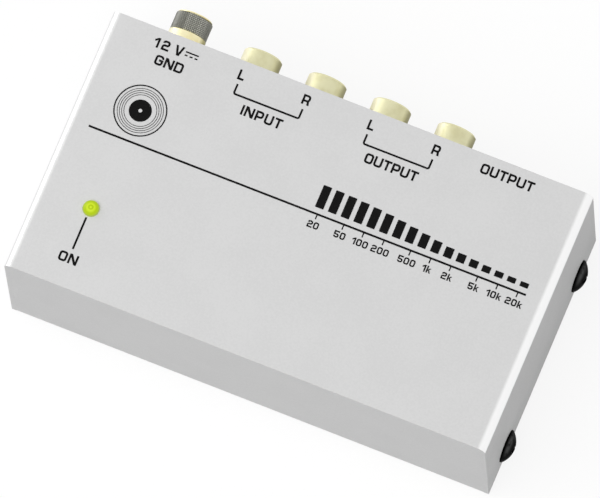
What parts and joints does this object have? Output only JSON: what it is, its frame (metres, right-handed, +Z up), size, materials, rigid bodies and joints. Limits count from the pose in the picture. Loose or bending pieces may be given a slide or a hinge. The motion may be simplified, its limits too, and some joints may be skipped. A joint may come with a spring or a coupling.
{
  "type": "phono preamp",
  "caption": "Small desktop phono preamp: folded sheet-metal box with phono jacks, a stereo jack, a power inlet and a ground post with thumb nut on its rear panel, and a lamp on top.",
  "frame": {"origin": "centre of the footprint, jacks included, on the plane that the feet stand on", "axes": "+X to the right seen from the front, along the case's long side; +Y from the front panel to the rear connectors; +Z up"},
  "size_m": [0.1088, 0.065, 0.0359],
  "materials": {
    "black_moulding": "moulded",
    "black_screw": "black zinc, semi-gloss",
    "board_laminate": "solder mask over laminate",
    "capacitor_sleeve": "shrink sleeve",
    "case_paint": "fine silver-grey powder coat over 1 mm steel",
    "film_case": "moulded box",
    "foot_rubber": "matt",
    "gold_plate": "pale gold flash over brass",
    "green_insulation": "flexible insulation",
    "green_lens": "tinted diffusing epoxy, lit",
    "nickel_plate": "nickel plate, satin",
    "red_moulding": "moulded",
    "resistor_coat": "lacquer with colour bands",
    "tinned_metal": "tinned",
    "white_moulding": "moulded",
    "zinc_steel": "bright zinc"
  },
  "bodies": {
    "case": {"board_screws": "zinc_steel", "board_standoffs": "zinc_steel", "chassis_tray": "case_paint", "clinch_nuts": "zinc_steel", "film_capacitor_leads": "tinned_metal", "film_capacitors": "film_case", "filter_capacitor_leads": "tinned_metal", "filter_capacitors": "capacitor_sleeve", "ground_hex_nut": "zinc_steel", "ground_lock_washer": "zinc_steel", "ground_post": "gold_plate", "ground_tag": "tinned_metal", "ground_wire": "green_insulation", "lamp_leads": "tinned_metal", "lamp_lens": "green_lens", "lamp_spacer": "black_moulding", "main_board": "board_laminate", "op_amp_legs": "tinned_metal", "op_amps": "black_moulding", "polarity_diode": "black_moulding", "polarity_diode_leads": "tinned_metal", "power_inlet_body": "black_moulding", "power_inlet_contact": "nickel_plate", "power_inlet_pin": "nickel_plate", "rca_contact_input_left": "gold_plate", "rca_contact_input_right": "gold_plate", "rca_contact_output_left": "gold_plate", "rca_contact_output_right": "gold_plate", "rca_housing_input": "black_moulding", "rca_housing_output": "black_moulding", "rca_insulator_input_left": "white_moulding", "rca_insulator_input_right": "red_moulding", "rca_insulator_output_left": "white_moulding", "rca_insulator_output_right": "red_moulding", "rca_panel_screws": "black_screw", "rca_shell_input_left": "gold_plate", "rca_shell_input_right": "gold_plate", "rca_shell_output_left": "gold_plate", "rca_shell_output_right": "gold_plate", "regulator_heat_tab": "tinned_metal", "regulator_legs": "tinned_metal", "resistor_leads": "tinned_metal", "resistors": "resistor_coat", "rubber_feet": "foot_rubber", "side_screws": "black_screw", "signal_capacitor_leads": "tinned_metal", "signal_capacitors": "capacitor_sleeve", "stereo_jack_body": "black_moulding", "stereo_ring_contact": "nickel_plate", "stereo_sleeve_contact": "nickel_plate", "stereo_tip_contact": "nickel_plate", "top_cover": "case_paint", "voltage_regulator": "black_moulding"},
    "clamp_washer": {"ground_washer": "gold_plate"},
    "thumb_nut": {"ground_nut_core": "gold_plate", "ground_nut_grip": "nickel_plate"}
  },
  "joints": [
    {"name": "nut_travel", "type": "slide", "parent": "case", "child": "clamp_washer", "axis": [0, 1, 0], "range_m": [0, 0.0021]},
    {"name": "nut_turn", "type": "hinge", "parent": "clamp_washer", "child": "thumb_nut", "pos_m": [-0.0379, 0.0302, 0.02514], "axis": [0, 1, 0], "range_deg": [0, 1080]}
  ],
  "couplings": [
    {"joint": "nut_turn", "follows": "nut_travel", "rad_per_m": 8975.9}
  ]
}
